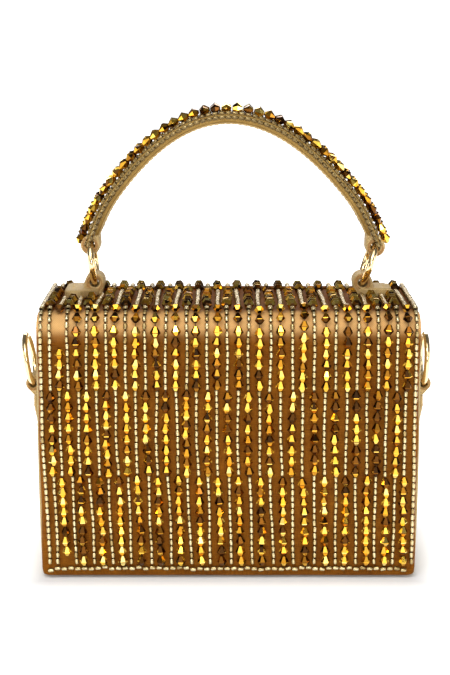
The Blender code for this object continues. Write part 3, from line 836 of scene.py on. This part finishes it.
def build_flap_beads():
    crystals, tubes, threads = flap_beads()
    low, high = TOP_LENGTH - 1.5, TOP_LENGTH + FOLD_LENGTH + 1.5
    # The last number of each zone pulls its tube beads towards grey: a painted grazing reflection, on the flap's top
    # only.
    zones = (
        ("top", lambda s: s < low, "flap_top", "top_beadwork", 0.55),
        ("fold", lambda s: low <= s <= high, None, None, 0.0),
        ("front", lambda s: s > high, "flap_front", "front_beadwork", 0.0),
    )
    for zone, inside, body, node, painted_grazing_grey in zones:
        cut_glass = [p for s, p in crystals if inside(s)]
        tubular = [p for s, p in tubes if inside(s)]
        made = [
            bead_mesh(f"{zone}_crystal_beads", cut_glass, CRYSTAL, CRYSTAL_SIDES, crystal_tones, "crystal", False),
            bead_mesh(
                f"{zone}_tube_beads", tubular, TUBE_BEAD, TUBE_SIDES, lambda m, d=painted_grazing_grey: tube_tones(m, d), "tube", True
            ),
        ]
        for piece in made:
            if body:
                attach(piece, body)
            else:
                across_fold(piece)
        if node:
            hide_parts(node)
    chains = [[c for _, c in chain] for chain in split_chains(threads)]
    across_fold(tube("bead_threads", chains, THREAD, "thread", 4))


def split_chains(threads):
    """Cuts each thread where a long stretch has no beads."""
    out = []
    for chain in threads:
        piece = [chain[0]]
        for before, after in zip(chain, chain[1:]):
            if after[0] - before[0] > 12:
                out.append(piece)
                piece = []
            piece.append(after)
        out.append(piece)
    return [p for p in out if len(p) > 1]


# ------------------------------------------------------------------ body


def rim_height(y):
    """The rim drops in a curve to the front panel's edge."""
    reach = 3.5
    if y > FRONT_Y + reach:
        return RIM_Z
    t = np.clip((FRONT_Y + reach - y) / reach, 0, 1)
    low = FRONT_RIM_Z - 1.0
    return low + (RIM_Z - low) * math.sqrt(max(1 - t * t, 0))


def box_ring(inset, corner, divisions=(44, 20)):
    """A rounded rectangle round the body, as points in X and Y with outward directions."""
    half, front, back = BODY_HALF - inset, FRONT_Y + inset, BACK_Y - inset
    corners = ((half, front, -math.pi / 2), (half, back, 0), (-half, back, math.pi / 2), (-half, front, math.pi))
    points = []
    for number, (cx, cy, begin) in enumerate(corners):
        ox, oy = cx - corner * math.copysign(1, cx), cy - corner * math.copysign(1, cy)
        for a in np.linspace(begin, begin + math.pi / 2, 6):
            points.append((ox + corner * math.cos(a), oy + corner * math.sin(a), math.cos(a), math.sin(a)))
        nx, ny, following = corners[(number + 1) % 4]
        tx, ty = nx - corner * math.copysign(1, nx), ny - corner * math.copysign(1, ny)
        a = begin + math.pi / 2
        start = (ox + corner * math.cos(a), oy + corner * math.sin(a))
        end = (tx + corner * math.cos(following), ty + corner * math.sin(following))
        for t in np.linspace(0, 1, divisions[number % 2 == 0] + 2)[1:-1]:
            x, y = (low + (high - low) * t for low, high in zip(start, end))
            points.append((x, y, math.cos(a), math.sin(a)))
    return np.array(points)


def puff(y, z, nx):
    """How far the gusset cloth stands out, either side of the tab that is sewn down its middle."""
    if abs(nx) < 0.7:
        return 0.0
    span = 0.3 + 0.7 * math.sin(math.pi * np.clip((y - FRONT_Y) / (BACK_Y - FRONT_Y), 0, 1)) ** 0.7
    tall = math.sin(math.pi * np.clip(z / RIM_Z, 0, 1)) ** 0.6
    crease = 0.1 * math.sin(0.5 * y + 0.06 * z) * tall * (abs(y) > 8)
    return abs(nx) * (1.8 * span * tall + crease)


def inset_ring(ring, inset, height):
    """A ring of the body moved inwards, at heights found from each point's Y."""
    return np.array([(x - inset * nx, y - inset * ny, height(y)) for x, y, nx, ny in ring])


def flat_ring(ring, inset, share, z):
    """A level ring moved inwards and then shrunk towards the body's middle, for its base."""
    middle = (FRONT_Y + BACK_Y) / 2
    x = (ring[:, 0] - inset * ring[:, 2]) * share
    y = middle + (ring[:, 1] - inset * ring[:, 3] - middle) * share
    return np.column_stack([x, y, np.full(len(ring), z)])


def build_body():
    """The open box: one cloth shell outside and over the rim, and a lining inside with a sewn pocket."""
    outer = box_ring(0, CORNER)
    edge, lip = 1.4, 0.9  # how far the base's edge and the rim are rounded
    rows = [flat_ring(outer, 0, share, 0.0) for share in (0.35, 0.8, 0.97)]
    for a in np.linspace(0, math.pi / 2, 5):
        rows.append(flat_ring(outer, edge * (1 - math.sin(a)), 1.0, edge * (1 - math.cos(a))))
    for t in np.linspace(0.02, 1, 46):
        row = []
        for x, y, nx, ny in outer:
            z = t * (rim_height(y) - lip)
            stand = puff(y, z, nx)
            row.append((x + stand * nx, y + stand * ny, z))
        rows.append(np.array(row))
    for a in np.linspace(0.3, math.pi, 7):
        inward = 1.75 * (1 - math.cos(a))
        rows.append(inset_ring(outer, inward, lambda y: rim_height(y) - lip + lip * math.sin(a)))
    for depth in (3, 6, 9):
        rows.append(inset_ring(outer, WALL, lambda y: rim_height(y) - lip - depth))
    rows.append(inset_ring(outer, 3.2, lambda y: rim_height(y) - 10.4))
    for depth in (40, 80, 120):
        rows.append(inset_ring(outer, 3.2, lambda y: max(rim_height(y) - depth, 3.0)))
    cover = loft("body_cloth_cover", rows, "body")
    covers = ["base_cover", "front_cover", "back_cover", "left_gusset_cover", "right_gusset_cover"]
    boards = [c.replace("cover", "board") for c in covers]
    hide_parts(*covers, *boards)
    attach(cover, "bag_body")
    build_lining(outer)
    build_body_stitches(outer)


def build_lining(outer):
    """A satin lining inside the box, slightly loose, with a flat pocket on its back wall."""
    near, far = 3.75, 4.25  # the lining's two faces, inside the body's outer face
    hem = 9  # below the rim
    rows = [flat_ring(outer, near, share, 3.25) for share in (0.3, 0.7, 1.0)]
    for depth in np.linspace(118, hem, 20):
        rows.append(inset_ring(outer, near, lambda y: max(rim_height(y) - depth, 3.6)))
    for depth in np.concatenate([[hem], np.linspace(9.4, 118, 30)]):
        row = []
        for x, y, nx, ny in outer:
            z = max(rim_height(y) - depth, 4.2)
            loose = 0.22 * math.sin(0.21 * x + 0.15 * y + 0.05 * z) * math.sin(math.pi * z / RIM_Z) * (depth > 10)
            inset = far + loose
            row.append((x - inset * nx, y - inset * ny, z))
        rows.append(np.array(row))
    rows += [flat_ring(outer, far, share, 3.8) for share in (1.0, 0.7, 0.3)]
    lining = loft("body_lining_cloth", rows, "lining")
    width, depth = 2 * (BODY_HALF - 4), BACK_Y - FRONT_Y - 8
    linings = ["base_lining", "front_lining", "back_lining", "left_gusset_lining", "right_gusset_lining"]
    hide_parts(*linings)
    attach(lining, "bag_body")
    low, high = mm_box("inner_pocket")
    face = low[1] - 0.15
    patch = Path([(0, face, z) for z in np.linspace(low[2], high[2], 24)], X)
    pocket = ribbon("inner_pocket_cloth", patch, high[0], 0.8, "lining", corner=0.35, columns=40, crown=0.5)
    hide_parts("inner_pocket")
    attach(pocket, "bag_body")
    lines = [
        seam([(sign * (high[0] - 2), face - 0.05, z) for z in np.arange(low[2] + 1, high[2], 2)], -Y)
        for sign in (-1, 1)
    ]
    for depth, z in ((0.1, low[2] + 2), (0.25, high[2] - 4)):
        lines.append(seam([(x, face - depth, z) for x in np.arange(low[0] + 2, high[0], 2)], -Y))
    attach(stitches("pocket_stitches", lines), "bag_body")


def build_body_stitches(outer):
    """A row of stitches below the rim, and one down each side of the back panel."""
    rim = []
    for x, y, nx, ny in np.concatenate([outer, outer[:1]]):
        z = rim_height(y) - 4
        stand = puff(y, z, nx)
        rim.append((np.array([x + stand * nx, y + stand * ny, z]), np.array([nx, ny, 0])))
    lines = [rim]
    for sign in (-1, 1):
        x = sign * (BODY_HALF - 4)
        lines.append(seam([(x, BACK_Y, z) for z in np.arange(3, RIM_Z - 16, 2.0)], Y))
        lines.append(seam([(x, FRONT_Y, z) for z in np.arange(3, FRONT_RIM_Z - 4, 2.0)], -Y))
    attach(stitches("body_stitches", lines), "bag_body")


def build_crease():
    """The cloth that joins the back to the flap's top, where it bends when the flap lifts; here it is one fixed piece
    on no body.
    """
    low, high = mm_box("flap_hinge_strip")
    outer_y = high[1]
    points = [(0, outer_y, z) for z in np.linspace(low[2], RIM_Z - 0.6, 12)]
    radius = 3.0
    centre = (outer_y - radius, TOP_Z + 0.15 - radius)
    points += [
        (0, centre[0] + radius * math.cos(a), centre[1] + radius * math.sin(a))
        for a in np.linspace(0, math.pi / 2, 16)
    ]
    points += [(0, y, TOP_Z + 0.15) for y in np.linspace(centre[0] - 0.5, REAR_Y - 3.5, 5)]
    path = Path(points, X)
    steps = np.arange(0, path.total, 0.7)
    strip = ribbon("crease_cloth", path, high[0] + 1.5, 0.8, "flap", corner=0.38, columns=50, steps=steps)
    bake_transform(strip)
    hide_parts("flap_hinge_strip")
    lines = [
        seam([(x, outer_y + 0.02, z) for x in np.arange(-high[0], high[0], 2.0)], Y)
        for z in (low[2] + 1.6, low[2] + 4.0)
    ]
    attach(stitches("crease_stitches", lines), "bag_body")


# ------------------------------------------------------------------ rings, tabs and loops


def build_ring(name, wire):
    """A smooth ring in the plane of its CAD ring, with a fine weld line on its hidden side."""
    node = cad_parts[name]
    points = np.array([v.co for v in node.data.vertices]) / MM
    centre = (points.max(0) + points.min(0)) / 2
    _, _, axes = np.linalg.svd(points - centre, full_matrices=False)
    normal = axes[2] if axes[2][0] > 0 else -axes[2]
    up = np.cross(normal, Y)
    reach = np.abs((points - centre) @ up).max()
    radius = reach - wire
    count, around = 112, 24
    verts = []
    for i in range(count):
        a = 2 * math.pi * i / count
        out = math.cos(a) * Y + math.sin(a) * up
        thick = wire - 0.05 * math.exp(-(((i - 65) / 0.9) ** 2))
        for b in np.linspace(0, 2 * math.pi, around, endpoint=False):
            verts.append(centre + out * (radius + thick * math.cos(b)) + normal * thick * math.sin(b))
    made = make(f"{name}_metal", verts, skin(count, around, loop=True), "metal")
    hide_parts(name)
    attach(made, name)
    return centre, radius, up if up[2] > 0 else -up


def hole_of(ring, towards):
    """Centre of the loop round a ring, 0.8 mm inside the wire, from the ring's measured circle."""
    centre, radius, up = RINGS[ring]
    return centre + towards * up * (radius - 0.8)


def build_handle_tab(side, sign):
    """A stitched cloth strip on the flap's top, wound at its inner end round the ring."""
    low, high = TAB_BOX[side]
    hole = hole_of(f"{side}_handle_ring", -1)
    y = hole[1]
    base, top = TOP_Z + 0.15, TOP_Z + 3.5
    outer_end = abs(high[0] if sign > 0 else low[0]) - 2.0
    foot = base - hole[2]
    corners = [(-3.6, foot), (3.6, foot), (sign * 6.2, foot + 0.2), (sign * 5.6, top - hole[2] + 0.4)]
    bore, radius, half = 2.25, 4.75, 5.9
    name = f"{side}_handle_tab_cloth"
    lobe = wound(name, hole, bore, radius, corners, half, "flap_top")
    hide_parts(f"{side}_handle_tab")
    inner_end = abs(hole[0]) - 2.5
    length = outer_end - inner_end
    rows = []
    for d in end_steps(length, 1.0, np.arange(0, length, 0.8)):
        px = inner_end + d
        shrink = rounded_ends(d, length, 1.0)
        spread = np.clip(d / (0.55 * length), 0, 1)
        round_off = 2.2 * max(0, (d - length + 4) / 4) ** 2
        front = -6.1 - PAD_FRONT[side] * spread + round_off + shrink
        back = 6.0 - round_off - shrink
        centre, reach = (front + back) / 2, (back - front) / 2
        section = slab_section(reach, 3.1 - 1.2 * shrink + PAD_LIFT * spread, 0.9, 16)
        rib = 0.1 * np.cos(section[:, 0] * 4.2) * (section[:, 1] > -0.2)
        height = top + PAD_LIFT * spread - 0.35 * d / length - 0.5 * shrink + section[:, 1] + rib
        rows.append(np.column_stack([np.full(len(section), sign * px), y + centre + section[:, 0], height]))
    pad = loft(f"{side}_handle_tab_pad", rows, "tab")
    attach(pad, "flap_top")
    lines = []
    for dy in np.arange(-4.5 - PAD_FRONT[side], 5, 2.1):
        across = np.arange(abs(hole[0]) + (5.4 if dy > -6 else 7.0), outer_end - 1.6, 1.0)
        rise = top + 0.12 + (PAD_LIFT - 0.35) * (across - inner_end) / length
        lines.append(seam([(sign * px, y + dy, z) for px, z in zip(across, rise)], Z))
    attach(stitches(f"{side}_handle_tab_stitches", lines, length=1.5, gap=0.5, radius=0.24), "flap_top")
    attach(tube(f"{side}_handle_tab_fold", spiral(hole, half, bore, 4.6, -sign), 0.24, "fold"), "flap_top")


# Handle
HANDLE_X = (STRAP_LOW[0] + STRAP_HIGH[0]) / 2
HANDLE_Y = (STRAP_LOW[1] + STRAP_HIGH[1]) / 2
HANDLE_CURVE = 0.0118
HANDLE_REACH = 66.0
HANDLE_APEX = 215.3
HANDLE_LEAN = -2.1  # how far across its top stands
HANDLE_BEND = 56.0  # beyond this the strap turns down more steeply to its rings
STRAP_THICK = 4.6
STRAP_HALF = 8.8


def strap_taper(d, total):
    """Half the strap's width: narrower and rounded towards its ends."""
    near = min(d, total - d)
    return STRAP_HALF - 2.9 * max(0, 1 - near / 16) ** 1.6


def strap_path(rise, reach=1.0):
    """The strap's line, raised from its underside; a longer reach carries it on at both ends."""
    points = []
    for dx in np.linspace(-HANDLE_REACH * reach, HANDLE_REACH * reach, 90):
        beyond = math.copysign(max(abs(dx) - HANDLE_BEND, 0), dx)
        slope = -2 * HANDLE_CURVE * dx - 0.09 * beyond
        length = math.hypot(1, slope)
        out = np.array([-slope / length, 0, 1 / length])
        x = HANDLE_X + dx + HANDLE_LEAN * (1 - (dx / HANDLE_REACH) ** 2)
        z = HANDLE_APEX - HANDLE_CURVE * dx * dx - 0.045 * beyond**2
        points.append(np.array([x, HANDLE_Y, z]) + rise * out)
    return outward_path(points, Z)


def build_handle():
    """The arched strap: a padded cloth tube with a pale underside, strings of beads above and down each side."""

    def strip(name, path, half, thick, look, corner, taper, columns, crown):
        made = ribbon(name, path, half, thick, look, corner, taper, columns, np.arange(0, path.total, 2.0), crown)
        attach(made, "handle")
        return made

    inner = strap_path(STRAP_THICK - 0.8)
    strap = strip("handle_strap_cloth", inner, STRAP_HALF, STRAP_THICK - 1.3, "strap", 1.4, strap_taper, 14, 0.35)
    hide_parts("handle_cover", "handle_core", "handle_beadwork")
    path = strap_path(STRAP_THICK, 1.035)
    cover = strip("handle_top_cloth", path, STRAP_HALF, 1.6, "strap", 0.7, strap_taper, 14, 0.35)
    under_path, under_half = strap_path(0.62), 8.2

    def narrower(d, total):
        return strap_taper(d, total) - 0.7

    under = strip("handle_underside_cloth", under_path, under_half, 0.75, "tab", 0.35, narrower, 12, 0.0)
    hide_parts("handle_underside")
    lines = []
    for sign in (-1, 1):
        line = []
        for d in np.arange(4, under_path.total - 4, 2.0):
            point, _, across, out = under_path.frame(d)
            line.append((point + sign * (strap_taper(d, under_path.total) - 2.2) * across - 0.77 * out, -out))
        lines.append(line)
    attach(stitches("handle_underside_stitches", lines, length=2.0, gap=0.8), "handle")
    crystals, tubes, threads = [], [], []
    for offset in (-4.35, 0.0, 4.35):  # the middle string starts half a bead later
        start = 2.6 if offset else 2.6 + 2.5
        count = int((path.total - start - 2.4) / 5.05)
        for i in range(count + 1):
            d = start + i * (path.total - 2 * start) / count
            point, along, across, out = path.frame(d)
            squeeze = strap_taper(d, path.total) / STRAP_HALF
            shift = offset * squeeze + RNG.normal(0, 0.15)
            stand = CRYSTAL_D / 2 + 0.25 + 1.1 * abs(2 * d / path.total - 1)
            centre = point + shift * across + stand * out
            crystals.append((centre, across, along, out, 1 + RNG.normal(0, 0.03)))
    count = int((path.total - 3) / TUBE_PITCH)
    # Two strings of tube beads along each edge, one on its top and one lower down its side
    edges = ((1.0, -1.0, 0.4), (1.09, -0.2, -1.4))
    for wide, inward, rise, sign in [(*edge, sign) for edge in edges for sign in (-1, 1)]:
        chain = []
        for i in range(count):
            d = 1.8 + i * (path.total - 3.6) / (count - 1)
            point, along, across, out = path.frame(d)
            side = sign * (strap_taper(d, path.total) * wide + inward)
            centre = point + side * across + rise * out
            tubes.append((centre, across, along, out, 0.97))
            chain.append(centre)
        threads.append(chain)
    beads = bead_mesh("handle_crystal_beads", crystals, SHARP, SHARP_SIDES, crystal_tones, "crystal", False, 1.0)
    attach(beads, "handle")
    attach(bead_mesh("handle_tube_beads", tubes, TUBE_BEAD, TUBE_SIDES, tube_tones, "tube", True), "handle")
    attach(tube("handle_threads", threads, THREAD, "thread", 4), "handle")


def build_handle_loop(side, sign):
    """The cloth that carries on from each end of the strap and is wound round the top of its ring."""
    hole = hole_of(f"{side}_handle_ring", 1)
    flat = strap_path(0)
    d = 1.5 if sign < 0 else flat.total - 1.5
    end, _, _, out = flat.frame(d)
    inner = end + 0.2 * out - hole
    outer = end + (STRAP_THICK - 0.7) * out - hole
    corners = [(inner[0], inner[2]), (outer[0], outer[2])]
    bore, radius, half = 2.3, 4.7, 5.7
    name = f"{side}_handle_loop_cloth"
    loop = wound(name, hole, bore, radius, corners, half, "handle")
    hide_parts(f"{side}_handle_loop")
    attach(tube(f"{side}_handle_loop_fold", spiral(hole, half, bore, 4.5, sign), 0.24, "fold"), "handle")


def build_side_tab(side, sign):
    """The strip sewn down each gusset: an inner ply, and an outer ply that goes round the strap ring."""
    low, high = mm_box(f"{side}_side_tab")
    hole = hole_of(f"{side}_side_ring", -1)
    hx, hz = abs(hole[0]), hole[2]

    def face(z, plies):
        """How far out the tab's plies stand, pressed flatter where the ring lies when it hangs down."""
        pressed = 91.0 + 1.4 * plies + 1.5 * np.clip((z - 72) / 8, 0, 1)
        return min(BODY_HALF + puff(0, z, 1) + 1.5 * plies, pressed)

    half = 6.6

    def rounded_top(d, _):
        return half if d > 6 else half * math.sqrt(max(1 - ((6 - d) / 6.3) ** 2, 0.02))

    path = outward_path([(sign * face(z, 1), 0, z) for z in np.linspace(high[2], low[2], 40)], sign * X)
    ply = ribbon(f"{side}_side_tab_cloth", path, half, 1.6, "tab", 0.5, rounded_top, 14, crown=0.2)
    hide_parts(f"{side}_side_tab")
    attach(ply, "bag_body")
    half = 6.4
    path = outward_path([(sign * face(z, 2), 0, z) for z in np.linspace(hz - 5.5, low[2] + 0.4, 20)], sign * X)
    over = ribbon(f"{side}_side_tab_outer", path, half, 1.5, "tab", 0.5, None, 14, crown=0.2)
    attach(over, "bag_body")
    near, bore, radius = face(hz, 0.9), 1.8, 3.5
    corners = [(sign * (x - hx), z) for x, z in ((near + 1.6, -5.6), (near, -5.6), (near, 5.0), (near + 0.5, 5.0))]
    hole = np.array([sign * hx, 0, hz])
    name, inner_ply = f"{side}_side_tab_loop", f"{side}_side_tab_cloth"
    wound(name, hole, bore, radius, corners, half, "bag_body", corner=0.8)
    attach(tube(f"{side}_side_tab_fold", spiral(hole, half, bore, 3.4, sign, 1.5), 0.2, "fold"), "bag_body")

    def up_the_tab(y, plies, begin, end):
        return seam([(sign * (face(z, plies) + 0.1), y, z) for z in np.arange(begin, end, 1.5)], sign * X)

    lines = []
    for y in (-5.0, 5.0):
        lines.append(up_the_tab(y, 2, low[2] + 1.5, hz - 7))
        lines.append(up_the_tab(y * 0.9, 1, hz + 8, high[2] - 4))
    for z in (low[2] + 1.8, hz - 8):
        lines.append(seam([(sign * (face(z, 2) + 0.13), y, z) for y in np.arange(-5, 5.1, 0.8)], sign * X))
    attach(stitches(f"{side}_side_tab_stitches", lines, length=1.8, gap=0.7, radius=0.17), "bag_body")


# ------------------------------------------------------------------ assembly

RINGS = {}
for side in SIDES:
    for ring, wire in ((f"{side}_handle_ring", 1.7), (f"{side}_side_ring", 1.4)):
        RINGS[ring] = build_ring(ring, wire)

build_body()
build_flap()
build_flap_beads()
build_crease()
build_handle()
for side, sign in SIDES.items():
    build_handle_tab(side, sign)
    build_handle_loop(side, sign)
    build_side_tab(side, sign)

for name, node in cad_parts.items():
    if node.hide_render:
        continue
    look = "magnet" if "magnet" in name else "board"
    node.data.materials.clear()
    node.data.materials.append(MATERIALS[look])

# ------------------------------------------------------------------ stage, light and camera


def stage_floor():
    """A white floor that glows, less so close to the bag, where its shadow shows: the weaker glow there is a painted
    shade round the bag's foot.
    """
    n = Nodes("floor_white")
    n.set(Roughness=0.75)
    n.shader.inputs["Base Color"].default_value = (0.85, 0.85, 0.85, 1)
    split = n.add("ShaderNodeSeparateXYZ")
    n.link(n.add("ShaderNodeTexCoord").outputs["Object"], split.inputs[0])
    beyond = [
        n.math("MAXIMUM", n.math("SUBTRACT", n.math("ABSOLUTE", split.outputs[i]), half * MM), 0.0)
        for i, half in ((0, BODY_HALF), (1, BACK_Y))
    ]
    away = n.math("SQRT", n.math("ADD", *(n.math("MULTIPLY", b, b) for b in beyond)))
    # Glow from 0.08 at the bag's outline to full 3 cm away: a painted shade round the bag's foot.
    n.link(n.remap(away, 0.0, 0.03, 0.08, 1.1), n.shader.inputs["Emission Strength"])
    n.shader.inputs["Emission Color"].default_value = (1, 1, 1, 1)
    mesh = bpy.data.meshes.new("floor")
    size = 3.0
    mesh.from_pydata([(-size, -size, 0), (size, -size, 0), (size, size, 0), (-size, size, 0)], [], [(0, 1, 2, 3)])
    mesh.materials.append(n.material)
    floor = bpy.data.objects.new("floor", mesh)
    bpy.context.scene.collection.objects.link(floor)


def studio_world():
    """White to the camera. To the bag it is a soft horizon with a bright patch above the front, and darker
    stretches that give metal its contrast."""
    world = bpy.data.worlds.new("studio")
    bpy.context.scene.world = world
    world.use_nodes = True
    world.node_tree.nodes.clear()
    n = Nodes("studio", world.node_tree)
    out = n.add("ShaderNodeOutputWorld")
    seen, lit = n.add("ShaderNodeBackground"), n.add("ShaderNodeBackground")
    seen.inputs[0].default_value = (1, 1, 1, 1)
    seen.inputs[1].default_value = 1.15
    where = n.add("ShaderNodeTexCoord").outputs["Generated"]
    split = n.add("ShaderNodeSeparateXYZ")
    n.link(where, split.inputs[0])
    height = n.math("ADD", n.math("MULTIPLY", split.outputs[2], 0.5), 0.5)
    stops = ((0.0, 0.3), (0.47, 0.45), (0.53, 0.8), (0.57, 0.12), (0.75, 0.16), (1.0, 0.12))
    sky = n.ramp(height, [(place, (value, value, value)) for place, value in stops])
    towards = n.add("ShaderNodeVectorMath", operation="DOT_PRODUCT")
    towards.inputs[1].default_value = (-0.1, -0.62, 0.78)
    n.link(where, towards.inputs[0])
    patch = n.remap(towards.outputs["Value"], 0.80, 0.93, 0.0, 1.75, interpolation_type="SMOOTHSTEP")
    n.link(n.math("ADD", sky, patch), lit.inputs[0])
    lit.inputs[1].default_value = 1.0
    mix = n.add("ShaderNodeMixShader")
    n.link(n.add("ShaderNodeLightPath").outputs["Is Camera Ray"], mix.inputs[0])
    n.link(lit.outputs[0], mix.inputs[1])
    n.link(seen.outputs[0], mix.inputs[2])
    n.link(mix.outputs[0], out.inputs[0])


def area_light(name, place, target, size, power):
    data = bpy.data.lights.new(name, "AREA")
    data.shape = "RECTANGLE"
    data.size, data.size_y = size
    data.energy = power
    made = bpy.data.objects.new(name, data)
    made.location = place
    made.rotation_euler = (Vector(target) - Vector(place)).to_track_quat("-Z", "Y").to_euler()
    bpy.context.scene.collection.objects.link(made)


stage_floor()
studio_world()
area_light("key", (-0.15, -0.62, 0.92), (0, 0, 0.09), (0.34, 0.22), 3.2)
area_light("front", (0.2, -1.4, 0.5), (0, 0, 0.1), (0.5, 0.3), 3.0)
area_light("fill_left", (-1.0, -0.35, 0.3), (0, 0, 0.1), (0.2, 0.5), 1.6)
area_light("fill_right", (1.0, -0.35, 0.3), (0, 0, 0.1), (0.2, 0.5), 1.6)
area_light("back", (0.0, 1.0, 0.6), (0, 0, 0.1), (0.9, 0.3), 4.0)

camera = bpy.data.objects.new("camera", bpy.data.cameras.new("camera"))
camera.location = (-0.0017, -0.7346, 0.2724)
camera.rotation_euler = (math.radians(77.69), 0, 0)
camera.data.lens = 81.95
camera.data.sensor_width = 36.0
bpy.context.scene.collection.objects.link(camera)
bpy.context.scene.camera = camera
bpy.context.scene.view_settings.view_transform = "Standard"
